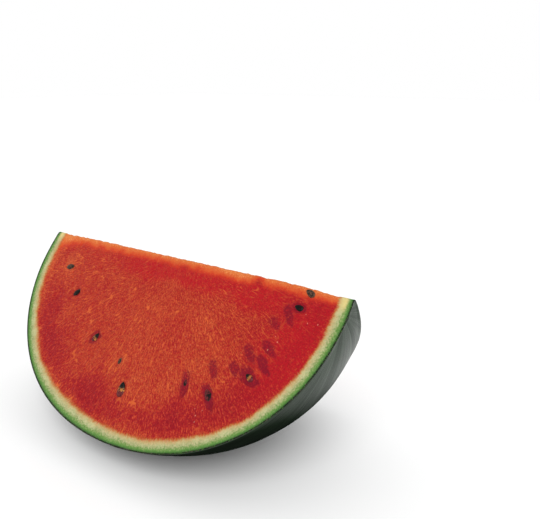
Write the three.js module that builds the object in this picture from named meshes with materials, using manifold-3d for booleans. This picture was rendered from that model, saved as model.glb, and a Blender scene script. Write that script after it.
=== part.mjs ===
import * as THREE from 'three';
import { mergeVertices } from 'three/addons/utils/BufferGeometryUtils.js';
import Module from 'manifold-3d';

// A lengthwise wedge of watermelon, about a fifth of the fruit, standing on its rind with
// the ridge of its two cut faces on top. It is one solid: flesh, rind and skin have grown together.
// Millimetres. +X runs along the ridge, -Y is the side of the front cut face, +Z is up.
// The origin is the middle of the bounding box, at the surface that the wedge stands on.

// The whole fruit: round across, a little longer than wide.
const melonRadius = 115;
const melonHalfLength = 135;
const fullness = 2.11; // power of the outline: 2 is an ellipse, more is squarer

// The two cuts, each leaning away from the vertical, and the ridge where they meet.
const frontLean = THREE.MathUtils.degToRad(38.7);
const backLean = THREE.MathUtils.degToRad(32.8);
const ridgeBehindMiddle = 14;
const ridgeAboveMiddle = 5.6;
const ridgeRounding = 2; // the brittle edge of the flesh is worn round

// How much the rind is flattened where the wedge stands on it.
const flatDepth = 1.1;

// Smoothness of the faceted surfaces.
const stepsAlong = 60;
const stepsAround = 96;
const stepsOnRidge = 6;

const wasm = await Module();
wasm.setup();

function toManifold(geometry) {
  const bare = geometry.clone();
  bare.deleteAttribute('normal');
  bare.deleteAttribute('uv');
  const merged = mergeVertices(bare);
  return new wasm.Manifold(new wasm.Mesh({
    numProp: 3,
    vertProperties: new Float32Array(merged.attributes.position.array),
    triVerts: new Uint32Array(merged.index.array),
  }));
}

function toGeometry(manifold) {
  const mesh = manifold.getMesh();
  const geometry = new THREE.BufferGeometry();
  geometry.setAttribute('position', new THREE.BufferAttribute(mesh.vertProperties, mesh.numProp));
  geometry.setIndex(new THREE.BufferAttribute(mesh.triVerts, 1));
  return geometry;
}

// The whole melon: a superellipse turned about its stem axis, which is laid along X.
function wholeMelon() {
  const outline = [];
  for (let i = 0; i <= stepsAlong; i += 1) {
    const turn = Math.PI * i / stepsAlong - Math.PI / 2;
    const across = melonRadius * Math.cos(turn) ** (2 / fullness);
    const along = melonHalfLength * Math.sign(turn) * Math.abs(Math.sin(turn)) ** (2 / fullness);
    const onAxis = i === 0 || i === stepsAlong;
    outline.push(new THREE.Vector2(onAxis ? 0 : across, along));
  }
  return new THREE.LatheGeometry(outline, stepsAround).rotateZ(-Math.PI / 2);
}

// What the knife leaves: a prism along X with the ridge rounded over, and a level underside
// that takes the flat spot off the rind. Shape x is the part's Y, and shape y is its Z.
function cutPrism() {
  const standing = flatDepth - melonRadius;
  const halfAngle = (frontLean + backLean) / 2;
  const tilt = (frontLean - backLean) / 2;
  const inset = ridgeRounding / Math.sin(halfAngle);
  const centreY = ridgeBehindMiddle - inset * Math.sin(tilt);
  const centreZ = ridgeAboveMiddle - inset * Math.cos(tilt);
  const drop = ridgeAboveMiddle - standing;

  const section = new THREE.Shape();
  section.moveTo(ridgeBehindMiddle - drop * Math.tan(frontLean), standing);
  section.lineTo(ridgeBehindMiddle + drop * Math.tan(backLean), standing);
  section.absarc(centreY, centreZ, ridgeRounding, backLean, Math.PI - frontLean, false);
  section.closePath();

  const length = 2.2 * melonHalfLength;
  const alongX = new THREE.Matrix4().makeBasis(
    new THREE.Vector3(0, 1, 0),
    new THREE.Vector3(0, 0, 1),
    new THREE.Vector3(1, 0, 0),
  );
  return new THREE.ExtrudeGeometry(section, {
    depth: length,
    curveSegments: stepsOnRidge,
    bevelEnabled: false,
  }).translate(0, 0, -length / 2).applyMatrix4(alongX);
}

function wedgeGeometry() {
  const wedge = toGeometry(toManifold(wholeMelon()).intersect(toManifold(cutPrism())));
  wedge.computeBoundingBox();
  const box = wedge.boundingBox;
  const middleX = (box.min.x + box.max.x) / 2;
  const middleY = (box.min.y + box.max.y) / 2;
  wedge.translate(-middleX, -middleY, -box.min.z);
  wedge.computeVertexNormals();
  return wedge;
}

const flesh = new THREE.MeshStandardMaterial({ color: 0xc8371f, roughness: 0.5, metalness: 0 });

const watermelonWedge = new THREE.Mesh(wedgeGeometry(), flesh);
watermelonWedge.name = 'watermelon_wedge';

const group = new THREE.Group();
group.add(watermelonWedge);

export default group;
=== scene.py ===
"""A lengthwise wedge of a black-skinned watermelon, standing on its rind with its ridge on top.

The wedge is one closed mesh with relief on its cut faces, and the seeds are a second piece.
Its shape follows the driving dimensions below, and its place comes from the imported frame.
Sizes are in millimetres until a mesh is made, and Blender's own units are metres.

A place on the cuts is given by x, along the ridge, and by q, the distance from the crown of the
ridge: positive down the front cut and negative down the back one. The melon's axis is at y 0, z 0.
"""
from collections import namedtuple
from math import cos, pi, radians, sin

import bpy
import numpy as np
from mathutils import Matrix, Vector


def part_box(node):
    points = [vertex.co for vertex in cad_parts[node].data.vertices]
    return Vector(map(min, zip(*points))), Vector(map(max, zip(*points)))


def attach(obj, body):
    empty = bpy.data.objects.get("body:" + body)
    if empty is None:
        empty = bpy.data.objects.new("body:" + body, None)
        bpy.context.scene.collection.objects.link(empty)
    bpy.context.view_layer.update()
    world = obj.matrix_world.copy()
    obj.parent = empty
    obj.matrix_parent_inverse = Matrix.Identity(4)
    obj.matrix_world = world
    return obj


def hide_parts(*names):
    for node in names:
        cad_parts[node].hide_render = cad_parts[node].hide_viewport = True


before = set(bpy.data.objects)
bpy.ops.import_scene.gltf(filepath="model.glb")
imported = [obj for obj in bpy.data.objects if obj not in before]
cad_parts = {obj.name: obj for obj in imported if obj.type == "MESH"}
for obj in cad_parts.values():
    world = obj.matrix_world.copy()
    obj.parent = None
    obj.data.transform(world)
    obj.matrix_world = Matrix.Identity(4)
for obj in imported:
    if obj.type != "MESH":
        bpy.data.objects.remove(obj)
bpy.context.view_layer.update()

MM = 0.001

# The fruit and the two cuts, as the solid has them. FULLNESS is the power of the melon's outline:
# 2 gives an ellipse, and more a fuller one. The cuts lean away from the vertical, and they would
# meet this far behind and above the melon's axis if the ridge weren't rounded.
MELON_RADIUS = 115.0
MELON_HALF_LENGTH = 135.0
FULLNESS = 2.11
FRONT_LEAN = radians(38.7)
BACK_LEAN = radians(32.8)
RIDGE_BEHIND = 14.0
RIDGE_ABOVE = 5.6
RIDGE_ROUNDING = 2.0
HALF_ANGLE = (FRONT_LEAN + BACK_LEAN) / 2
TILT = (FRONT_LEAN - BACK_LEAN) / 2

# How finely the mesh is divided, and the power by which its stations crowd towards the tips.
STATIONS = 310
STEPS_ACROSS_CUTS = 270
STEPS_ACROSS_SKIN = 50
CROWDING = 1.35

# The whole surface lies this far inside the solid's, so that nothing stands proud of it.
INSET = 0.08

# The usual thickness of the rind, for which the depths of its colours are given.
RIND_THICKNESS = 9.0

node_name = "watermelon_wedge"
box_low, box_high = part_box(node_name)


# ---------------------------------------------------------------- noise

# Large numbers that scramble a grid point's place into a random number.
SCRAMBLE_PLACE = (73856093, 19349663, 83492791)
SCRAMBLE_SEED = 2654435761
SCRAMBLE_AGAIN = 1274126177
LOW_32_BITS = 0xFFFFFFFF
LOW_16_BITS = 0xFFFF


def lattice(cell, seed):
    """A repeatable random number from 0 to 1 at each point of a grid of whole numbers."""
    mixed = seed * SCRAMBLE_SEED
    for axis, scramble in enumerate(SCRAMBLE_PLACE):
        mixed = mixed + cell[..., axis] * scramble
    mixed = (mixed ^ (mixed >> 13)) & LOW_32_BITS
    mixed = (mixed * SCRAMBLE_AGAIN) & LOW_32_BITS
    return ((mixed ^ (mixed >> 16)) & LOW_16_BITS) / LOW_16_BITS


def ease(part):
    """A smooth rise from 0 to 1 as part goes from 0 to 1."""
    return part * part * (3 - 2 * part)


def noise(points, size, seed):
    """Smooth random values from 0 to 1 whose bumps are about size across."""
    place = points / size
    cell = np.floor(place).astype(np.int64)
    part = ease(place - cell)
    total = 0.0
    for corner in np.ndindex(2, 2, 2):
        weight = np.prod(np.where(corner, part, 1 - part), axis=-1)
        total = total + weight * lattice(cell + corner, seed)
    return total


def fractal(points, size, octaves, seed):
    """Several octaves of noise, each half as large and half as strong as the last, from 0 to 1.

    The seed only makes one noise differ from another.
    """
    total, strength, full = 0.0, 1.0, 0.0
    for octave in range(octaves):
        total = total + strength * noise(points, size / 2**octave, seed + octave)
        full += strength
        strength /= 2
    return total / full


def uneven(points, size, octaves, seed):
    """Fractal noise from -0.5 to 0.5."""
    return fractal(points, size, octaves, seed) - 0.5


def smooth(value, start, end):
    """0 before start, 1 after end, and a smooth rise between."""
    return ease(np.clip((value - start) / (end - start), 0, 1))


def hill(value, middle, reach):
    """1 at the middle, and a smooth fall to nearly 0 at twice the reach on either side."""
    return np.exp(-(((value - middle) / reach) ** 2))


# ---------------------------------------------------------------- shape

# Halvings that find a rim, and places tried for the point of the cut nearest to the axis.
HALVINGS = 50
PLACES_TRIED = 20001

# The rind's corners at the ends of the ridge lie this far below the flesh between them. The dip
# grows along the last stretch of the ridge, and fades out this far below it.
LEFT_DIP = 0.9
RIGHT_DIP = 1.8
DIP_START = 95
DIP_END = 130
DIP_REACH = 30


def across_cuts(q):
    """The line over both cuts: place (y, z) and outward normal at distance q from the crown."""
    q = np.asarray(q, float)
    reach = pi / 2 - HALF_ANGLE
    turn = TILT - np.clip(q / RIDGE_ROUNDING, -reach, reach)
    normal = np.stack([np.sin(turn), np.cos(turn)], -1)
    inset = RIDGE_ROUNDING / sin(HALF_ANGLE)
    centre = np.array([RIDGE_BEHIND - inset * sin(TILT), RIDGE_ABOVE - inset * cos(TILT)])
    straight = np.maximum(np.abs(q) - RIDGE_ROUNDING * reach, 0)[..., None]
    down_front = np.array([-sin(FRONT_LEAN), -cos(FRONT_LEAN)])
    down_back = np.array([sin(BACK_LEAN), -cos(BACK_LEAN)])
    down = np.where((q > 0)[..., None], down_front, down_back)
    return centre + RIDGE_ROUNDING * normal + straight * down, normal


def on_outline(share):
    """The melon's outline: its radius as a share of the largest, at this share of half its length.

    It works the other way round too.
    """
    return (1 - share**FULLNESS) ** (1 / FULLNESS)


def melon_radius_at(x):
    """The melon's radius across, at x along its axis."""
    return MELON_RADIUS * on_outline(np.clip(np.abs(x) / MELON_HALF_LENGTH, 0, 1))


def depth_under_skin(places):
    """How deep points inside the melon are under its skin."""
    along = np.abs(places[..., 0]) / MELON_HALF_LENGTH
    across = np.hypot(places[..., 1], places[..., 2]) / MELON_RADIUS
    power = np.maximum(along**FULLNESS + across**FULLNESS, 1e-9)
    size = power ** (1 / FULLNESS)
    slope = power ** (1 / FULLNESS - 1) * np.hypot(
        along ** (FULLNESS - 1) / MELON_HALF_LENGTH, across ** (FULLNESS - 1) / MELON_RADIUS
    )
    return np.maximum((1 - size) / slope, 0)


def rim_of_cut(start, side, radius):
    """How far the line over the cuts runs from start before it leaves a circle of this radius."""
    near = np.full_like(radius, start)
    far = np.full_like(radius, start + side * 2 * MELON_RADIUS)
    for _ in range(HALVINGS):
        middle = (near + far) / 2
        place, _normal = across_cuts(middle)
        inside = np.hypot(place[..., 0], place[..., 1]) < radius
        near = np.where(inside, middle, near)
        far = np.where(inside, far, middle)
    return near


def nearest_to_axis():
    """Where the front cut passes closest to the melon's axis: q there, and the distance."""
    tried = np.linspace(0, MELON_RADIUS, PLACES_TRIED)
    place, _normal = across_cuts(tried)
    distance = np.hypot(place[:, 0], place[:, 1])
    best = distance.argmin()
    return tried[best], distance[best]


def section_on_cuts(x, radius, tip_q):
    """The cuts' points at each station, their outward normals and their q, from back to front."""
    front = rim_of_cut(tip_q, 1, radius)
    back = rim_of_cut(tip_q, -1, radius)
    part = np.linspace(0, 1, STEPS_ACROSS_CUTS + 1)
    q = back[:, None] + (front - back)[:, None] * part
    section, normal = across_cuts(q)
    along = np.repeat(x[:, None, None], q.shape[1], 1)
    level = np.zeros(q.shape + (1,))
    return np.concatenate([along, section], -1), np.concatenate([level, normal], -1), q


def section_on_skin(x, radius, cut):
    """The skin's points at each station, from the front rim to the back one, and their normals."""
    front_turn = np.arctan2(cut[:, -1, 1], -cut[:, -1, 2])
    back_turn = np.arctan2(cut[:, 0, 1], -cut[:, 0, 2])
    part = np.linspace(0, 1, STEPS_ACROSS_SKIN + 1)[1:-1]
    turn = front_turn[:, None] + (back_turn - front_turn)[:, None] * part
    outward = np.stack([np.sin(turn), -np.cos(turn)], -1)
    along = np.repeat(x[:, None, None], turn.shape[1], 1)
    lean = (np.abs(x) / MELON_HALF_LENGTH) ** (FULLNESS - 1) / MELON_HALF_LENGTH * np.sign(x)
    rise = (radius / MELON_RADIUS) ** (FULLNESS - 1) / MELON_RADIUS
    steep = np.stack([lean, rise], -1) / np.hypot(lean, rise)[:, None]
    tipped = np.repeat(steep[:, None, :1], turn.shape[1], 1)
    places = np.concatenate([along, radius[:, None, None] * outward], -1)
    return places, np.concatenate([tipped, steep[:, None, 1:] * outward], -1)


def wedge_grid():
    """The smooth wedge as rings of points round it, one ring for each station along the ridge.

    Returns places and outward normals, both (stations, points, 3), with the cuts' points first,
    the cuts' q, and the two tips.
    """
    tip_q, tip_radius = nearest_to_axis()
    tip_x = MELON_HALF_LENGTH * on_outline(tip_radius / MELON_RADIUS)
    share = np.linspace(-1, 1, STATIONS + 2)[1:-1]
    x = tip_x * np.sign(share) * (1 - (1 - np.abs(share)) ** CROWDING)
    radius = melon_radius_at(x)
    cut, cut_normal, q = section_on_cuts(x, radius, tip_q)
    skin, skin_normal = section_on_skin(x, radius, cut)
    tip_place, _normal = across_cuts(tip_q)
    tips = np.array([[-tip_x, *tip_place], [tip_x, *tip_place]])
    places = np.concatenate([cut, skin], 1)
    return places, np.concatenate([cut_normal, skin_normal], 1), q, tips


def settle_ends(places):
    """Lowers the rind's corners at both ends of the ridge below the flesh between them."""
    x = places[..., 0]
    crown, _normal = across_cuts(0.0)
    high = smooth(places[..., 2] - crown[1], -DIP_REACH, 0)
    dip = LEFT_DIP * smooth(-x, DIP_START, DIP_END) + RIGHT_DIP * smooth(x, DIP_START, DIP_END)
    settled = places.copy()
    settled[..., 2] -= dip * high
    return settled


def to_frame():
    """What moves a point from the melon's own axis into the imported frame."""
    crown, _normal = across_cuts(0.0)
    widest = np.array([MELON_RADIUS])
    front_rim, _normal = across_cuts(rim_of_cut(10.0, 1, widest))
    back_rim, _normal = across_cuts(rim_of_cut(-10.0, -1, widest))
    middle = (front_rim[0, 0] + back_rim[0, 0]) / 2
    box_middle = (box_low.y + box_high.y) / 2 / MM
    return np.array([0.0, box_middle - middle, box_high.z / MM - crown[1]])


SHIFT = to_frame()


# ---------------------------------------------------------------- seeds and beds

# Each seed has a bed, the seed-shaped hollow in the flesh. A whole seed lies bare in its bed, a
# capped one shows its black tip, a sunk one shows a black spot and a dull one is rough and brown.
# A deep one lies under the cut, and only darkens the flesh.
#
# The front cut's seeds: x along the ridge, q down the cut, kind, the length of the bed, how
# crimson the bed is, how large the seed is beside a usual one, and how far it is twisted, in
# degrees, away from the line to the middle of the ridge.
FRONT_SEEDS = [
    (-102, 26, "dull", 8, 0.15, 1.0, -7),
    (-82, 43, "whole", 9, 0.5, 0.85, 10),
    (-43, 69, "capped", 13, 0.9, 0.95, -4),
    (-11, 78, "dull", 11, 0.35, 0.6, 0),
    (1, 94, "capped", 14, 0.35, 1.2, 5),
    (47, 77, "sunk", 19, 1.05, 0.75, -11),
    (67, 79, "sunk", 20, 1.15, 1.1, 5),
    (89, 61, "capped", 19, 1.3, 0.7, 14),
    (102, 14, "whole", 12, 0.9, 0.7, 3),
    (106, 4, "dull", 8, 0.2, 0.8, -11),
    (83, 48, "deep", 15, 0.9, 0, -6),
    (94, 42, "deep", 15, 0.85, 0, -1),
    (95, 52, "deep", 16, 1.05, 0, -5),
    (77, 59, "deep", 13, 0.85, 0, 5),
    (63, 63, "deep", 14, 0.85, 0, -5),
    (91, 27, "deep", 13, 0.7, 0, -9),
    (98, 20, "deep", 17, 0.9, 0, -36),
]
Seed = namedtuple("Seed", "x q kind bed_length stain size turn")

# A usual seed, how blunt its ends are, how it tapers, and how much its flanks are thinned.
SEED_LENGTH = 8.6
SEED_WIDTH = 5.2
SEED_THICKNESS = 2.4
SEED_BLUNTNESS = 0.85
SEED_TAPER = 0.34
SEED_THINNING = 0.3
SEED_STEPS_ALONG = 24
SEED_STEPS_ROUND = 28

# How wide and deep each kind's bed is, how much of the seed stands above its floor, and its lean.
BED_WIDTH = {"whole": 7.0, "capped": 8.8, "sunk": 7.0, "dull": 6.0, "deep": 6.4}
HOLLOW = {"whole": 0.9, "capped": 0.9, "sunk": 0.8, "dull": 0.4, "deep": 0.15}
SHOWN = {"whole": 0.42, "capped": 0.5, "sunk": 0.17, "dull": 0.33}
LEAN = {"whole": 0.16, "capped": 0.16, "sunk": 0.2, "dull": 0.14}
# What covers each kind's coat, as the seeds' material reads it.
COVERED = {"whole": 0.0, "capped": 0.4, "sunk": 0.7, "dull": 1.0}
# How much a bed narrows towards its outer end, and how far beyond the crown its long axis points.
BED_TAPER = 0.2
AIMED_BEYOND = 12

# The back cut's seeds: the kinds they are drawn from, how many there are, how far round the ring
# they go, in degrees to either side, and how large they are beside a usual one.
BACK_KINDS = ["whole", "capped", "sunk", "dull", "deep", "deep"]
BACK_SEEDS = 13
BACK_ARC = 76
BACK_SIZE = 0.9

chance = np.random.RandomState(11)


def back_seeds():
    """Seeds for the back cut, in the same ring round the middle of the ridge."""
    found = []
    for turn in np.linspace(-BACK_ARC, BACK_ARC, BACK_SEEDS):
        turned = radians(turn + chance.uniform(-6, 6))
        ring = chance.uniform(60, 78) + 26 * abs(sin(turned))
        kind = str(chance.choice(BACK_KINDS))
        length, stain = chance.uniform(10, 16), chance.uniform(0.3, 0.9)
        place = (ring * sin(turned), -ring * cos(turned))
        found.append((*place, kind, length, stain, BACK_SIZE, chance.uniform(-11, 11)))
    return found


def turned_seed(x, q, kind, bed_length, stain, size, twist):
    """A seed with the turn of its long axis away from straight down the cut."""
    turn = np.arctan2(x, abs(q) + AIMED_BEYOND) + radians(twist)
    return Seed(x, q, kind, bed_length, stain, size, turn)


SEEDS = [turned_seed(*values) for values in FRONT_SEEDS + back_seeds()]


def bed_shape(x, q, seed):
    """How far inside a seed's bed a point on the cut is: 1 in the middle, 0 at its edge."""
    along_x, along_q = sin(seed.turn), cos(seed.turn) * np.sign(seed.q)
    off_x, off_q = x - seed.x, q - seed.q
    length = (off_x * along_x + off_q * along_q) / seed.bed_length * 2
    width = (off_x * along_q - off_q * along_x) / BED_WIDTH[seed.kind] * 2
    narrow = 1 - BED_TAPER * np.clip(-length, -1, 1)
    return 1 - np.hypot(length, width * narrow)


# ---------------------------------------------------------------- relief and colour fields

# How deep each kind of relief on the cuts goes. The flesh has wide waves, fine grain, streaks
# along the fibres and torn spots, the ridge has crumbs and clumps, and the rind has faint grain.
WAVE_DEPTH = 0.8
GRAIN_DEPTH = 0.35
STREAK_DEPTH = 0.3
TEAR_DEPTH = 0.5
CRUMB_DEPTH = 0.4
CLUMP_DEPTH = 0.15
RIND_GRAIN_DEPTH = 0.12

# The fibres fan out from a point this far beyond the crown. The streaks in the relief: how many
# there are to a radian, how large their bumps are in those units, and how far they are drawn out.
FAN_BEYOND = 4
STREAKS_TO_RADIAN = 60
STREAK_SIZE = 1.7
STREAK_STRETCH = 4.0

# The skin's faint lengthwise ribs, its dents, and the turn, in radians, over which both fade out
# towards the rims.
RIBS_ROUND_MELON = 10
RIB_DEPTH = 0.2
DENT_DEPTH = 0.5
FADE_AT_RIMS = 0.12

# The rind's thickness to the left of the middle, how much it loses for each millimetre to the
# right of it, how much it swells left of the middle and at the right end, and how much it wavers.
RIND_LEFT = 9.2
RIND_LOSS = 0.012
SWELLING_LEFT = 1.3
SWELLING_RIGHT = 1.6
WIDE_WAVER = 2.0
SHORT_WAVER = 1.8

# The tone of plain flesh, and how much lighter, or with a minus sign more crimson, it gets: near
# the rind, in the ring of seeds, at the right end, in pools, in large and small patches, at the
# upper left, round a seed with a plain bed, along the very edge, and under the ridge.
PLAIN_TONE = 0.57
TONE = {
    "outer": -0.28,
    "seed_ring": 0.07,
    "right": -0.19,
    "pool": -0.2,
    "patches": 0.3,
    "small": 0.2,
    "upper_left": 0.08,
    "round_seed": 0.3,
    "edge": 0.28,
    "under_ridge": -0.05,
}
# How far the ring of seeds is from the ridge's middle, and how far round a seed in a plain bed
# the flesh is lighter.
SEED_RING = 84
ROUND_SEED_REACH = 5.5
# Pools of deeper crimson on the front cut: x, q, and how far they reach.
CRIMSON_POOLS = [(-112, 15, 6), (-94, 50, 8), (-70, 84, 18), (-20, 108, 20), (52, 100, 18)]

# Where small painted wet glints and pale torn fibres lie on the front cut: x, q, how far they reach,
# and how thick they lie.
GLINTS = [(90, 33, 7, 1), (91, 43, 5, 1), (108, 20, 9, 1), (66, 90, 6, 1), (40, 50, 30, 0.35)]
GLINTS_ELSEWHERE = 0.05


def fan_of_fibres(x, q):
    """A place's turn in the fan of fibres, and its distance from the ridge's middle."""
    return np.arctan2(x, np.abs(q) + FAN_BEYOND), np.hypot(x, q)


def rind_scale(places):
    """The rind's thickness as a share of the usual one. It is uneven along the rim."""
    x = places[..., 0]
    thickness = RIND_LEFT - RIND_LOSS * np.maximum(x, 0)
    thickness += SWELLING_LEFT * hill(x, -40, 25) + SWELLING_RIGHT * smooth(x, 95, 126)
    thickness += WIDE_WAVER * uneven(places, 18.0, 2, 61) + SHORT_WAVER * uneven(places, 6.0, 2, 63)
    return thickness / RIND_THICKNESS


def relief_on_cuts(places, q, depth):
    """How far the cut surface lies below the clean cut, and how crimson a seed bed each point is."""
    x = places[..., 0]
    angle, ring = fan_of_fibres(x, q)
    # The third number only keeps the two cuts' streaks apart.
    apart = np.where(q > 0, 0.0, 500.0)
    fibres = np.stack([angle * STREAKS_TO_RADIAN, ring / STREAK_STRETCH, apart], -1)

    flesh = smooth(depth, RIND_THICKNESS - 2, RIND_THICKNESS + 3)
    near_crown = 1 - smooth(np.abs(q), 1.0, 6.0)
    grain = fractal(places, 2.4, 2, 3)
    crumbs = CRUMB_DEPTH * smooth(fractal(places, 2.4, 3, 21), 0.35, 0.75)
    clumps = CLUMP_DEPTH * fractal(places, 9.0, 2, 27)
    sunk = WAVE_DEPTH * fractal(places, 45.0, 2, 1) * (1 - 0.8 * near_crown)
    sunk += GRAIN_DEPTH * grain + STREAK_DEPTH * fractal(fibres, STREAK_SIZE, 2, 5)
    sunk += TEAR_DEPTH * smooth(fractal(places, 6.0, 3, 9), 0.6, 0.8)
    sunk += near_crown * (crumbs + clumps)
    sunk = sunk * flesh + RIND_GRAIN_DEPTH * grain * smooth(depth, 0.5, 2.5)

    bed = np.zeros(q.shape)
    for seed in SEEDS:
        inside = bed_shape(x, q, seed) + 0.6 * (grain - 0.5)
        near = smooth(inside, -0.16, 0.38) * ((q > 0) == (seed.q > 0))
        sunk += HOLLOW[seed.kind] * near
        bed = np.maximum(bed, near * seed.stain)
    return sunk * smooth(depth, 0.0, 2.0), bed


def relief_on_skin(turn, places):
    """How far the skin lies below the melon's clean outline."""
    ribs = 0.5 + 0.5 * np.cos(turn * RIBS_ROUND_MELON + 0.6)
    dents = fractal(places, 30.0, 3, 71)
    from_rim = np.minimum(turn - turn[:, :1], turn[:, -1:] - turn)
    return smooth(from_rim, 0.0, FADE_AT_RIMS) * (RIB_DEPTH * ribs + DENT_DEPTH * dents)


def vividness(x, down, patches, under_ridge):
    """How vivid a red the flesh is: at the right end, and under the ridge."""
    right_end = smooth(x + 30 * patches, 76, 104) * (1 - smooth(down, 45, 95))
    return np.clip(np.maximum(right_end, 1.5 * under_ridge) * (0.85 + patches), 0, 1)


def tone_on_cuts(places, q, depth):
    """How light the flesh is, from 0 for crimson to 1 for orange, and how vivid a red it is."""
    x = places[..., 0]
    down = np.abs(q)
    patches = uneven(places, 24.0, 3, 41)
    small = uneven(places, 7.0, 2, 47)
    outer = 1 - smooth(depth + 16 * patches, 18, 36)
    outer *= 1 - 0.75 * (1 - smooth(down, 30, 75)) * smooth(-x, 30, 70)
    right = smooth(x + 40 * patches, 60, 96)
    seed_ring = hill(np.hypot(x, down), SEED_RING, 15) * smooth(down, 40, 65) * (1 - right)
    under_ridge = smooth(down, 4, 8) * (1 - smooth(down + 24 * patches, 12, 24))
    under_ridge *= 1 - 0.7 * smooth(np.abs(x - 25), 50, 90)

    tone = PLAIN_TONE + TONE["outer"] * outer + TONE["right"] * right
    tone += TONE["seed_ring"] * seed_ring
    for pool_x, pool_q, reach in CRIMSON_POOLS:
        away = np.hypot(x - pool_x, q - pool_q) / reach
        tone += TONE["pool"] * hill(away + 1.2 * small, 0, 1)
    tone += TONE["patches"] * patches + TONE["small"] * small
    tone += TONE["upper_left"] * smooth(-x, 30, 90) * (1 - smooth(down, 12, 36))
    for seed in SEEDS:
        away = np.hypot(x - seed.x, q - seed.q)
        plain_bed = 1 - smooth(seed.stain, 0.2, 0.5)
        tone += TONE["round_seed"] * plain_bed * hill(away, 0, ROUND_SEED_REACH)
    tone += TONE["edge"] * (1 - smooth(depth, 10, 18)) + TONE["under_ridge"] * under_ridge
    return np.clip(tone, 0.05, 1), vividness(x, down, patches, under_ridge)


def glints_on_cuts(x, q):
    """How thick the wet glints lie, from 0 to 1."""
    thick = np.full_like(x, GLINTS_ELSEWHERE)
    for glint_x, glint_q, reach, most in GLINTS:
        thick = np.maximum(thick, most * hill(np.hypot(x - glint_x, q - glint_q), 0, reach))
    return thick


def from_ridge(x, q, depth):
    """Distance from the ridge, less where the ridge's orange spreads further down the cut."""
    wide = 5 * smooth(-x, 60, 120) * (1 - smooth(depth, 8, 34)) + 1.2 * smooth(-x, 40, 90)
    notch = 4 * hill(x, 68, 4) - 1.5 * hill(x, 50, 12)
    return np.maximum(np.abs(q) * (1 - 0.35 * smooth(wide, 0, 6)) - 0.35 * wide + notch, 0)


def at_corners(x, q):
    """1 at the ends of the ridge, where the rind's corners are, and 0 further down the cuts."""
    down = np.abs(q)
    return np.where(x < 0, 1 - smooth(down, 2, 8), 1 - smooth(down, 4, 11))


# ---------------------------------------------------------------- meshes


def make_mesh(name, places, faces):
    """A new object with these points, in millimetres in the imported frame, and these faces."""
    mesh = bpy.data.meshes.new(name)
    mesh.from_pydata((places * MM).tolist(), [], faces)
    mesh.polygons.foreach_set("use_smooth", np.full(len(mesh.polygons), True))
    made = bpy.data.objects.new(name, mesh)
    bpy.context.scene.collection.objects.link(made)
    return made


def set_attributes(made, fields):
    """Gives each point of a mesh a number, or a vector, by each of these names."""
    for name, values in fields.items():
        kind, part = ("FLOAT", "value") if values.ndim == 1 else ("FLOAT_VECTOR", "vector")
        layer = made.data.attributes.new(name, kind, "POINT")
        layer.data.foreach_set(part, values.astype(np.float32).ravel())


def ring_faces(rings, points, tips):
    """Quads between neighbouring rings, and a fan of triangles at each tip."""
    start = np.arange(rings - 1)[:, None] * points
    here = start + np.arange(points)
    after = start + (np.arange(points) + 1) % points
    quads = np.stack([here, after, after + points, here + points], -1).reshape(-1, 4)
    faces = quads.tolist()
    last = (rings - 1) * points
    for point in range(points):
        following = (point + 1) % points
        faces.append([following, point, tips[0]])
        faces.append([last + point, last + following, tips[1]])
    return faces


def wedge_fields(on_cut, q, depth, bed, on_skin, turn, height):
    """What the wedge's materials read at each point of the mesh."""

    def spread(on_cuts, on_skin_value, at_tips=0.0):
        """One row of values, in the mesh's order, from those on the cuts, the skin and the tips."""
        skin_part = np.broadcast_to(on_skin_value, turn.shape)
        joined = np.concatenate([on_cuts, skin_part], 1).reshape(-1)
        return np.concatenate([joined, [at_tips, at_tips]])

    x = on_cut[..., 0]
    angle, ring = fan_of_fibres(x, q)
    tone, vivid = tone_on_cuts(on_cut, q, depth)
    # The low field marks where the skin comes near the floor, with an uneven limit, for painted shade
    # there.
    above_floor = height + 25 * uneven(on_skin, 40.0, 2, 77)
    # The third number only keeps the noises on the two cuts and on the skin apart.
    fibre = [
        spread(angle, turn),
        spread(ring, on_skin[..., 0]),
        spread(np.where(q > 0, 0.0, 7.0), 14.0, 14.0),
    ]
    return {
        "layer_depth": spread(depth / rind_scale(on_cut), 0.0),
        "from_crown": spread(from_ridge(x, q, depth), 50.0, 50.0),
        "corner": spread(at_corners(x, q), 0.0),
        "glint": spread(glints_on_cuts(x, q), 0.0),
        "bed": spread(bed, 0.0),
        "tone": spread(tone, 0.5),
        "vivid": spread(vivid, 0.0),
        "low": spread(np.zeros_like(q), 1 - smooth(above_floor, 36, 82)),
        "fibre": np.stack(fibre, -1),
    }


def make_wedge():
    """The wedge, and how many points each of its rings has, in all and on the cuts."""
    places, normals, q, tips = wedge_grid()
    rings, points = places.shape[:2]
    cuts = q.shape[1]
    on_cut, on_skin = places[:, :cuts], places[:, cuts:]
    depth = depth_under_skin(on_cut)
    sunk, bed = relief_on_cuts(on_cut, q, depth)
    turn = np.arctan2(on_skin[..., 1], -on_skin[..., 2])

    full_sunk = np.concatenate([sunk, relief_on_skin(turn, on_skin)], 1) + INSET
    moved = settle_ends(places - normals * full_sunk[..., None]) + SHIFT
    # The spot that it stands on is flat.
    moved[..., 2] = np.maximum(moved[..., 2], box_low.z / MM)
    tips = settle_ends(tips + np.array([[INSET, 0, 0], [-INSET, 0, 0]])) + SHIFT
    faces = ring_faces(rings, points, (rings * points, rings * points + 1))
    everything = np.concatenate([moved.reshape(-1, 3), tips])
    wedge = make_mesh("watermelon_wedge_visual", everything, faces)
    height = moved[:, cuts:, 2]
    set_attributes(wedge, wedge_fields(on_cut, q, depth, bed, on_skin, turn, height))
    return wedge, points, cuts


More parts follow.
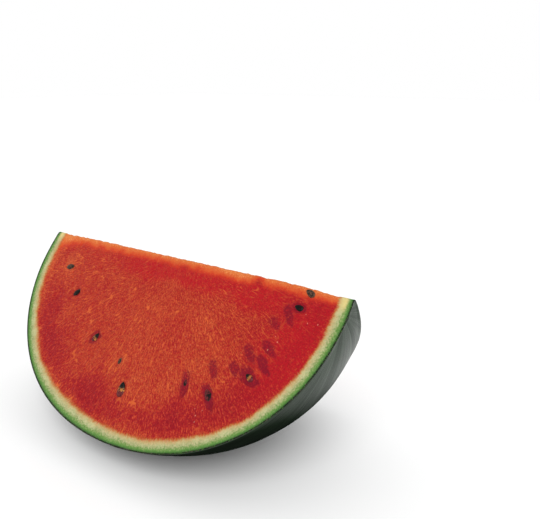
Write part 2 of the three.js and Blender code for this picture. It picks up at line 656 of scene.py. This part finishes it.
def assign_skin(wedge, points, cuts):
    """Faces with all their corners on the skin, its rims or the tips take the second material."""
    mesh = wedge.data
    corner = np.empty(len(mesh.loops), np.int32)
    mesh.loops.foreach_get("vertex_index", corner)
    start = np.empty(len(mesh.polygons), np.int32)
    mesh.polygons.foreach_get("loop_start", start)
    ring_place = corner % points
    on_skin = (ring_place >= cuts - 1) | (ring_place == 0)
    tips = corner >= STATIONS * points
    skin_face = np.logical_and.reduceat(on_skin | tips, start)
    mesh.polygons.foreach_set("material_index", skin_face.astype(np.int32))
    mesh.update()


def seed_points():
    """A seed lying flat, its tip towards +x: its points, faces, and place along it, -1 to 1."""
    points, lengthwise = [], []
    for i in range(1, SEED_STEPS_ALONG):
        turn = pi * i / SEED_STEPS_ALONG
        u = -cos(turn)
        body = sin(turn) ** SEED_BLUNTNESS * (1 - SEED_TAPER * u)
        for j in range(SEED_STEPS_ROUND):
            round_it = 2 * pi * j / SEED_STEPS_ROUND
            y = SEED_WIDTH / 2 * body * cos(round_it)
            z = SEED_THICKNESS / 2 * body * sin(round_it)
            z *= 1 - SEED_THINNING * abs(cos(round_it)) ** 3
            points.append((SEED_LENGTH / 2 * u, y, z))
            lengthwise.append(u)
    ends = (len(points), len(points) + 1)
    points += [(-SEED_LENGTH / 2, 0.0, 0.0), (SEED_LENGTH / 2, 0.0, 0.0)]
    faces = ring_faces(SEED_STEPS_ALONG - 1, SEED_STEPS_ROUND, ends)
    return np.array(points), faces, np.array(lengthwise + [-1.0, 1.0])


def lay_in_bed(seed, points):
    """Moves a flat seed's points into its bed, with its tip towards the middle of the ridge."""
    place, normal = across_cuts(seed.q)
    spot = np.array([[seed.x, *place]])
    hollow, _bed = relief_on_cuts(spot, np.array([float(seed.q)]), depth_under_skin(spot))
    down = np.array([-normal[1], normal[0]]) * np.sign(seed.q)
    length_axis = np.array([-sin(seed.turn), *(-cos(seed.turn) * down)])
    normal_axis = np.array([0.0, *normal])
    width_axis = np.cross(normal_axis, length_axis)
    lean = LEAN[seed.kind]
    leaning = cos(lean) * length_axis + sin(lean) * normal_axis
    upright = cos(lean) * normal_axis - sin(lean) * length_axis
    size = seed.size * chance.uniform(0.95, 1.05)
    above = (SHOWN[seed.kind] - 0.5) * SEED_THICKNESS - hollow[0]
    centre = spot[0] + above * normal_axis + SHIFT
    return size * points @ np.stack([leaning, width_axis, upright]) + centre


def make_seeds():
    """All the seeds that show, as one joined mesh."""
    points, faces, lengthwise = seed_points()
    shown = [seed for seed in SEEDS if seed.kind != "deep"]
    all_points = [lay_in_bed(seed, points) for seed in shown]
    all_faces = []
    for number in range(len(shown)):
        first = number * len(points)
        all_faces += [[first + corner for corner in face] for face in faces]
    seeds = make_mesh("seeds", np.concatenate(all_points), all_faces)
    covers = np.repeat([COVERED[seed.kind] for seed in shown], len(points))
    set_attributes(seeds, {"lengthwise": np.tile(lengthwise, len(shown)), "covered": covers})
    return seeds


# ---------------------------------------------------------------- materials

# In the materials, noise runs from 0 to 1 and mostly stays between 0.3 and 0.7, and step() takes
# a value, where its rise starts and ends, and what it rises from and to. Colours are display
# colours, 0 to 255. Depths are millimetres under the skin in a rind of the usual thickness.

# The colours under the skin, by depth.
RIND_COLOURS = [
    (0.0, (8, 12, 9)),
    (0.75, (12, 22, 13)),
    (1.15, (56, 98, 42)),
    (2.0, (84, 124, 58)),
    (3.0, (108, 138, 74)),
    (4.2, (140, 148, 98)),
    (5.6, (163, 158, 112)),
    (7.2, (175, 150, 100)),
    (8.8, (172, 98, 46)),
    (10.4, (163, 50, 28)),
]
PALE_PITH = (198, 190, 152)
CREAM_PATCHES = (184, 186, 138)
GREEN_SPECKS = (78, 116, 50)
YELLOW_CORNERS = (214, 192, 122)

# The flesh's colours, from crimson to the palest orange.
FLESH_COLOURS = [
    (0.0, (136, 12, 24)),
    (0.25, (150, 20, 25)),
    (0.5, (160, 40, 26)),
    (0.75, (171, 62, 32)),
    (1.0, (188, 86, 46)),
]
VIVID_RED = (168, 12, 26)
DARK_CELLS = (112, 12, 22)
PALE_CELLS = (206, 76, 54)
PALE_THREADS = (202, 94, 44)
BROWN_RIM = (158, 76, 44)
WET_BED = (116, 8, 30)
FLECKS_AND_GLINTS = (222, 148, 124)
# The ridge's colours, by distance from it in millimetres.
# Partly the flesh's own orange and partly painted light: the rounded ridge catches light from above and
# glows through its thin flesh.
RIDGE_ORANGE_AND_LIGHT = [(0.0, (204, 116, 58)), (2.5, (200, 96, 44)), (6.0, (190, 56, 28))]
# Painted highlights on the crumbs along the crest.
RIDGE_CRUMB_HIGHLIGHTS = (224, 148, 90)

DARK_SKIN = (22, 34, 23)
LIGHT_SKIN = (47, 68, 46)
SKIN_BANDS = (12, 18, 12)
SKIN_DOTS = (52, 62, 46)
# Painted shade: the skin's colour near the floor, where it lies in shadow.
FLOOR_SHADE_SKIN = (5, 8, 5)
# The wax makes the gloss a little green.
WAX_TINT = (0.93, 1.0, 0.9, 1.0)

BLACK_COAT = (7, 7, 6)
BROWN_COAT = (36, 27, 21)
ROUGH_COAT = (98, 70, 52)
AMBER_DARK = (92, 56, 36)
AMBER_LIGHT = (190, 122, 52)
FILM_DARK = (78, 22, 28)
FILM_LIGHT = (106, 44, 44)

# How many bumps of each noise there are in a metre.
GRAIN_SCALE = 900.0
CELL_SCALE = 1100.0
FLECK_SCALE = 480.0
SPECK_SCALE = 420.0
BLOTCH_SCALE = 130.0
THREAD_PATCH_SCALE = 90.0

# How strongly the mottling sways the flesh's tone, and the share of it that is fine grain.
MOTTLING = 3.6
GRAIN_SHARE = 0.48

# Streaks along the fibres: how many of them to a radian and to a millimetre. As fibres fan out,
# finer ones take over, between these distances from the middle of the ridge.
INNER_STREAKS = (46.0, 0.34)
OUTER_STREAKS = [((90.0, 0.3), (30.0, 48.0)), ((145.0, 0.3), (62.0, 88.0))]


def colour(red, green, blue):
    """A display colour, 0 to 255 each, as the linear colour that a shader takes."""
    parts = np.array([red, green, blue]) / 255
    linear = np.where(parts <= 0.04045, parts / 12.92, ((parts + 0.055) / 1.055) ** 2.4)
    return (*linear.tolist(), 1.0)


class Nodes:
    """Adds shader nodes to one material.

    A value given to a node is linked if it is another node's output, and set if it is a number.
    """

    def __init__(self, name):
        self.material = bpy.data.materials.new(name)
        self.material.use_nodes = True
        self.tree = self.material.node_tree

    def add(self, kind, values=None, **settings):
        """A node of this kind, with these inputs and settings."""
        node = self.tree.nodes.new("ShaderNode" + kind)
        for name, setting in settings.items():
            setattr(node, name, setting)
        for name, value in (values or {}).items():
            self.put(node.inputs[name], value)
        return node

    def put(self, socket, value):
        if isinstance(value, bpy.types.NodeSocket):
            self.tree.links.new(value, socket)
        else:
            socket.default_value = value

    def surface(self, values):
        """Gives these inputs to the material's shader."""
        shader = self.tree.nodes["Principled BSDF"]
        for name, value in values.items():
            self.put(shader.inputs[name], value)
        return self.material

    def own_place(self):
        """Where a point of the object is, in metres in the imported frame."""
        return self.add("TexCoord").outputs["Object"]

    def field(self, name):
        """A number that the mesh holds for each of its points."""
        return self.add("Attribute", attribute_name=name).outputs["Fac"]

    def vector_field(self, name):
        """Three numbers that the mesh holds for each of its points."""
        return self.add("Attribute", attribute_name=name).outputs["Vector"]

    def math(self, operation, first, second=0.0, third=0.0):
        values = {0: first, 1: second, 2: third}
        return self.add("Math", values, operation=operation).outputs[0]

    def plus(self, first, second):
        return self.math("ADD", first, second)

    def times(self, first, second):
        return self.math("MULTIPLY", first, second)

    def sway(self, value, width):
        """Noise from 0 to 1, made to sway by this width about 0."""
        return self.math("MULTIPLY_ADD", value, width, -width / 2)

    def off(self, value, middle):
        """How far a number is from this one, on either side."""
        return self.math("ABSOLUTE", self.math("SUBTRACT", value, middle))

    def step(self, value, start, end, low=0.0, high=1.0):
        """A smooth rise from low to high as value goes from start to end."""
        values = {"Value": value, "From Min": start, "From Max": end, "To Min": low, "To Max": high}
        return self.add("MapRange", values, interpolation_type="SMOOTHSTEP").outputs["Result"]

    def mix(self, share, first, second):
        """The first colour with a share of the second laid over it. Either may be a display colour."""
        node = self.add("Mix", {"Factor": share}, data_type="RGBA")
        for socket, value in ((node.inputs[6], first), (node.inputs[7], second)):
            self.put(socket, colour(*value) if isinstance(value, tuple) else value)
        return node.outputs[2]

    def blend(self, share, first, second):
        """The first number with a share of the second."""
        return self.add("Mix", {0: share, 2: first, 3: second}).outputs[0]

    def noise(self, vector, scale, detail=2.0, roughness=0.5):
        values = {"Vector": vector, "Scale": scale, "Detail": detail, "Roughness": roughness}
        return self.add("TexNoise", values).outputs["Fac"]

    def ramp(self, value, stops):
        """A colour that follows value through these stops, which start at 0."""
        full = stops[-1][0]
        node = self.add("ValToRGB", {"Fac": self.math("DIVIDE", value, full)})
        band = node.color_ramp
        while len(band.elements) < len(stops):
            band.elements.new(0.5)
        for element, stop in zip(band.elements, stops):
            element.position = stop[0] / full
        for element, stop in zip(band.elements, stops):
            element.color = colour(*stop[1])
        return node.outputs["Color"]

    def scaled(self, vector, x, y, z):
        """A place stretched, so that noise read there has this many bumps along each number."""
        return self.add("VectorMath", {0: vector, 1: (x, y, z)}, operation="MULTIPLY").outputs[0]

    def bump(self, height, strength, distance):
        """The surface's normal as this height tilts it. The distance is in metres."""
        values = {"Height": height, "Strength": strength, "Distance": distance}
        return self.add("Bump", values).outputs["Normal"]


class FleshNodes(Nodes):
    """The cut faces' material: the fields and noises that its layers share, and the layers.

    A layer that takes a colour lays its own over it.
    """

    def __init__(self):
        super().__init__("cut_flesh")
        self.place = self.own_place()
        self.depth = self.field("layer_depth")
        self.crown = self.field("from_crown")
        self.tone = self.field("tone")
        self.vivid = self.field("vivid")
        self.fibre = self.vector_field("fibre")
        self.streak = self.streaks()
        self.grain = self.noise(self.place, GRAIN_SCALE, 3.0, 0.65)
        self.cell = self.noise(self.place, CELL_SCALE, 2.0, 0.6)
        self.blotch = self.noise(self.place, BLOTCH_SCALE, 3.0, 0.6)
        self.mottle = self.blend(GRAIN_SHARE, self.streak, self.grain)
        self.ragged_depth = self.roughen_depth()

    def streaks(self):
        """Noise drawn out along the fibres."""

        def drawn_out(per_radian, per_mm):
            return self.noise(self.scaled(self.fibre, per_radian, per_mm, 3.1), 1.0, 3.0, 0.65)

        distance = self.add("SeparateXYZ", {"Vector": self.fibre}).outputs["Y"]
        streaks = drawn_out(*INNER_STREAKS)
        for density, (start, end) in OUTER_STREAKS:
            streaks = self.blend(self.step(distance, start, end), streaks, drawn_out(*density))
        return streaks

    def roughen_depth(self):
        """The layers meet raggedly, most of all where the rind turns into flesh."""
        fuzz = self.noise(self.scaled(self.fibre, 130.0, 0.35, 1.3), 1.0)
        ragged = self.times(self.sway(fuzz, 3.2), self.step(self.depth, 3.0, 9.5))
        speckled = self.times(self.sway(self.grain, 3.2), self.step(self.depth, 0.6, 4.0))
        return self.plus(self.plus(self.depth, ragged), speckled)

    def rind(self):
        """Black skin, green and cream rind, with pale pith, cream patches and green specks."""
        rind = self.ramp(self.ragged_depth, RIND_COLOURS)
        fine = self.noise(self.place, GRAIN_SCALE, 2.0, 0.6)
        pith = self.times(self.step(fine, 0.5, 0.7), self.step(self.depth, 1.5, 5.0, 0.1, 0.35))
        rind = self.mix(pith, rind, PALE_PITH)
        inner = self.step(self.ragged_depth, 3.0, 5.0, 0.0, 0.4)
        cream = self.times(self.step(self.blotch, 0.46, 0.6), inner)
        cream = self.times(cream, self.step(self.ragged_depth, 8.4, 6.8))
        rind = self.mix(cream, rind, CREAM_PATCHES)
        outer = self.step(self.depth, 9.0, 2.0, 0.05, 0.55)
        return self.mix(self.times(self.step(fine, 0.5, 0.34), outer), rind, GREEN_SPECKS)

    def flesh(self):
        """Dark crimson specks between lighter, more orange fibres, all finely speckled."""
        level = self.plus(self.tone, self.sway(self.mottle, MOTTLING))
        flesh = self.ramp(level, FLESH_COLOURS)
        redden = self.times(self.vivid, self.step(self.mottle, 0.38, 0.62, 0.95, 0.45))
        flesh = self.mix(redden, flesh, VIVID_RED)
        flesh = self.mix(self.step(self.cell, 0.5, 0.36, 0.0, 0.45), flesh, DARK_CELLS)
        hair = self.step(self.blend(0.6, self.cell, self.streak), 0.51, 0.64, 0.0, 0.45)
        paler = self.times(hair, self.step(self.vivid, 0.0, 1.0, 1.0, 0.35))
        return self.mix(paler, flesh, PALE_CELLS)

    def pale_threads(self, flesh):
        """A few thin fibres curve palely through the flesh."""
        bent = self.noise(self.scaled(self.fibre, 24.0, 0.05, 1.7), 1.0, 0.0)
        where = self.noise(self.place, THREAD_PATCH_SCALE)
        pale = self.times(self.step(self.off(bent, 0.5), 0.032, 0.006), self.step(where, 0.47, 0.56))
        pale = self.times(pale, self.step(self.tone, 0.3, 0.6, 0.15, 0.75))
        return self.mix(pale, flesh, PALE_THREADS)

    def brittle_ridge(self, flesh):
        """The ridge's own orange, with painted light on its thin crest and painted highlights on
        crumbs.
        """
        away = self.plus(self.crown, self.sway(self.blotch, 7.0))
        away = self.plus(away, self.sway(self.grain, 5.0))
        orange = self.ramp(away, RIDGE_ORANGE_AND_LIGHT)
        flesh = self.mix(self.step(away, 9.0, 4.5, 0.0, 0.92), flesh, orange)
        # Painted highlights: pale flecks on the crumbs near the crest.
        crumbs = self.times(self.step(self.crown, 4.5, 1.5), self.step(self.cell, 0.5, 0.66, 0.0, 0.6))
        return self.mix(crumbs, flesh, RIDGE_CRUMB_HIGHLIGHTS)

    def seed_beds(self, flesh):
        """Seed beds are dark and wet, with a slightly browner rim."""
        bed = self.field("bed")
        rim = self.times(self.step(bed, 0.02, 0.2), self.step(bed, 0.5, 0.3))
        flesh = self.mix(self.times(rim, 0.06), flesh, BROWN_RIM)
        wet = self.times(bed, self.math("MULTIPLY_ADD", self.grain, 4.8, -1.5))
        return self.mix(self.step(wet, 0.0, 1.0, 0.0, 0.9), flesh, WET_BED)

    def flecks(self, flesh):
        """A few pale flecks, drawn out, are painted on: partly torn fibres and partly painted glints.
        """
        drawn_out = self.scaled(self.place, 1.0, 0.8, 0.45)
        cells = self.add("TexVoronoi", {"Vector": drawn_out, "Scale": FLECK_SCALE}).outputs
        chosen = self.step(self.plus(cells["Color"], self.times(self.field("glint"), 0.5)), 0.96, 1.0)
        fleck = self.times(self.step(cells["Distance"], 0.22, 0.06), chosen)
        return self.mix(self.times(fleck, 0.7), flesh, FLECKS_AND_GLINTS)

    def yellow_corners(self, base):
        """The rind's corners at the ends of the ridge are yellow under their green edge."""
        corner = self.times(self.field("corner"), self.step(self.ragged_depth, 10.5, 3.5))
        corner = self.times(corner, self.step(self.depth, 2.4, 5.0, 0.0, 0.85))
        return self.mix(corner, base, YELLOW_CORNERS)


def flesh_material():
    nodes = FleshNodes()
    flesh = nodes.brittle_ridge(nodes.pale_threads(nodes.flesh()))
    flesh = nodes.flecks(nodes.seed_beds(flesh))
    base = nodes.mix(nodes.step(nodes.ragged_depth, 8.4, 10.4), nodes.rind(), flesh)
    height = nodes.times(nodes.mottle, nodes.step(nodes.ragged_depth, 7.0, 10.0, 0.15, 1.0))
    return nodes.surface(
        {
            "Base Color": nodes.yellow_corners(base),
            "Roughness": nodes.step(nodes.mottle, 0.35, 0.65, 0.42, 0.6),
            "Specular IOR Level": 0.1,
            "Subsurface Weight": 0.06,
            "Subsurface Radius": (1.0, 0.3, 0.15),
            "Subsurface Scale": 0.002,
            "Normal": nodes.bump(height, 0.5, 0.001),
        }
    )


def skin_material():
    nodes = Nodes("melon_skin")
    place = nodes.own_place()
    # On the skin, the fibre field is the angle round the melon and the place along it.
    fibre = nodes.vector_field("fibre")
    hairs = nodes.noise(nodes.scaled(fibre, 110.0, 0.05, 1.0), 1.0, 4.0, 0.7)
    bands = nodes.noise(nodes.scaled(fibre, 12.0, 0.012, 1.0), 1.0, 3.0, 0.6)
    dots = nodes.noise(place, SPECK_SCALE)
    base = nodes.mix(nodes.step(hairs, 0.36, 0.66), DARK_SKIN, LIGHT_SKIN)
    base = nodes.mix(nodes.step(bands, 0.38, 0.64, 0.0, 0.35), base, SKIN_BANDS)
    base = nodes.mix(nodes.step(dots, 0.62, 0.72, 0.0, 0.3), base, SKIN_DOTS)
    # Near the spot that it stands on, the skin is painted almost black as painted shade, and its waxy
    # coat is left off.
    low = nodes.field("low")
    waxy = nodes.times(nodes.step(hairs, 0.32, 0.68, 0.6, 0.95), nodes.step(low, 0.0, 0.85, 1.0, 0.03))
    waxy = nodes.times(waxy, nodes.step(bands, 0.38, 0.64, 1.0, 0.8))
    normal = nodes.bump(nodes.plus(nodes.times(hairs, 0.5), nodes.times(dots, 0.2)), 0.12, 0.0006)
    return nodes.surface(
        {
            "Base Color": nodes.mix(nodes.times(low, 0.85), base, FLOOR_SHADE_SKIN),
            "Roughness": nodes.step(hairs, 0.35, 0.65, 0.45, 0.55),
            "Specular IOR Level": 0.0,
            "Coat Weight": waxy,
            "Coat Roughness": 0.3,
            "Coat Tint": WAX_TINT,
            "Normal": normal,
            "Coat Normal": normal,
        }
    )


def seed_material():
    nodes = Nodes("seed_coat")
    place = nodes.own_place()
    mottle = nodes.noise(place, GRAIN_SCALE, 3.0, 0.6)
    coat = nodes.mix(nodes.step(mottle, 0.45, 0.7), BLACK_COAT, BROWN_COAT)
    rough = nodes.mix(nodes.step(mottle, 0.42, 0.66), BROWN_COAT, ROUGH_COAT)
    # Juice and a film of flesh cover the outer end of a capped seed.
    amber = nodes.mix(nodes.step(mottle, 0.4, 0.6), AMBER_DARK, AMBER_LIGHT)
    film = nodes.mix(nodes.step(mottle, 0.35, 0.65), FILM_DARK, FILM_LIGHT)
    along = nodes.plus(nodes.field("lengthwise"), nodes.sway(mottle, 1.6))
    capped = nodes.mix(nodes.step(along, 0.35, 0.15), coat, amber)
    capped = nodes.mix(nodes.step(along, -0.05, -0.25), capped, film)
    # A sunk seed shows one black spot between shreds of flesh.
    spotted = nodes.mix(nodes.step(nodes.off(along, 0.1), 0.3, 0.6), coat, film)
    shreds = nodes.noise(place, SPECK_SCALE, 2.0, 0.6)
    spotted = nodes.mix(nodes.step(shreds, 0.5, 0.58, 0.0, 0.85), spotted, film)
    # The numbers in COVERED choose between the kinds.
    covered = nodes.field("covered")
    base = nodes.mix(nodes.step(covered, 0.1, 0.3), coat, capped)
    base = nodes.mix(nodes.step(covered, 0.5, 0.6), base, spotted)
    base = nodes.mix(nodes.step(covered, 0.8, 0.9), base, rough)
    return nodes.surface(
        {
            "Base Color": base,
            "Roughness": 0.32,
            "Specular IOR Level": 0.12,
            "Normal": nodes.bump(mottle, 0.25, 0.0004),
        }
    )


# ---------------------------------------------------------------- setting

FLOOR_REACH = 6000.0
FLOOR_COLOUR = (0.95, 0.95, 0.95, 1.0)

# The room is white up to the first height and dimmer above the second, both as the sine of the
# elevation.
WHITE_UP_TO = 0.12
DIM_FROM = 0.35
WALLS_BRIGHTNESS = 1.0
CEILING_BRIGHTNESS = 0.78

# One large soft light stands in front, on the camera's side, and so far away that it falls evenly
# over the whole floor.
LIGHT_TOWARDS = (0.4, -0.6, 0.69)
LIGHT_BRIGHTNESS = 1.7
LIGHT_SPREAD = radians(40)

CAMERA_AZIMUTH = radians(37.9)
CAMERA_ELEVATION = radians(15.2)
CAMERA_DISTANCE = 0.4547
CAMERA_LENS = 45.35
NEAREST_SEEN = 0.01
# The camera is aimed this far, in metres, to the right of and above a point just inside the
# ridge's middle, whose own place is in millimetres from the melon's middle.
INSIDE_RIDGE = (0.0, 13.0, 0.0)
AIM_RIGHT = 0.0595
AIM_UP = 0.0031


def make_floor():
    reach = FLOOR_REACH
    corners = np.array([(-reach, -reach, 0), (reach, -reach, 0), (reach, reach, 0), (-reach, reach, 0)])
    floor = make_mesh("floor", corners, [(0, 1, 2, 3)])
    look = {"Base Color": FLOOR_COLOUR, "Roughness": 0.6, "Specular IOR Level": 0.2}
    floor.data.materials.append(Nodes("pale_floor").surface(look))


def make_world():
    """An even white room, dimmer overhead."""
    world = bpy.data.worlds.new("studio")
    world.use_nodes = True
    tree = world.node_tree
    heading = tree.nodes.new("ShaderNodeTexCoord")
    split = tree.nodes.new("ShaderNodeSeparateXYZ")
    rise = tree.nodes.new("ShaderNodeMapRange")
    rise.interpolation_type = "SMOOTHSTEP"
    rise.inputs["From Min"].default_value = WHITE_UP_TO
    rise.inputs["From Max"].default_value = DIM_FROM
    rise.inputs["To Min"].default_value = WALLS_BRIGHTNESS
    rise.inputs["To Max"].default_value = CEILING_BRIGHTNESS
    tree.links.new(heading.outputs["Generated"], split.inputs["Vector"])
    tree.links.new(split.outputs["Z"], rise.inputs["Value"])
    tree.links.new(rise.outputs["Result"], tree.nodes["Background"].inputs["Strength"])
    tree.nodes["Background"].inputs["Color"].default_value = (1.0, 1.0, 1.0, 1.0)
    bpy.context.scene.world = world


def make_light():
    data = bpy.data.lights.new("front_softbox", "SUN")
    data.energy = LIGHT_BRIGHTNESS
    data.angle = LIGHT_SPREAD
    light = bpy.data.objects.new("front_softbox", data)
    light.rotation_euler = Vector(LIGHT_TOWARDS).to_track_quat("Z", "Y").to_euler()
    bpy.context.scene.collection.objects.link(light)


def make_camera():
    level = cos(CAMERA_ELEVATION)
    back = Vector((sin(CAMERA_AZIMUTH) * level, -cos(CAMERA_AZIMUTH) * level, sin(CAMERA_ELEVATION)))
    right = Vector((cos(CAMERA_AZIMUTH), sin(CAMERA_AZIMUTH), 0))
    up = back.cross(right)
    middle = Vector(INSIDE_RIDGE) * MM + Vector(SHIFT) * MM
    target = middle + AIM_RIGHT * right + AIM_UP * up
    data = bpy.data.cameras.new("camera")
    data.lens = CAMERA_LENS
    data.clip_start = NEAREST_SEEN
    camera = bpy.data.objects.new("camera", data)
    camera.location = target + CAMERA_DISTANCE * back
    camera.rotation_euler = (-back).to_track_quat("-Z", "Y").to_euler()
    bpy.context.scene.collection.objects.link(camera)
    bpy.context.scene.camera = camera


# ---------------------------------------------------------------- the object

wedge, ring_points, cut_points = make_wedge()
wedge.data.materials.append(flesh_material())
wedge.data.materials.append(skin_material())
assign_skin(wedge, ring_points, cut_points)
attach(wedge, "root")
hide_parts(node_name)

seeds = make_seeds()
seeds.data.materials.append(seed_material())
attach(seeds, "root")

make_floor()
make_world()
make_light()
make_camera()
bpy.context.scene.view_settings.view_transform = "Standard"
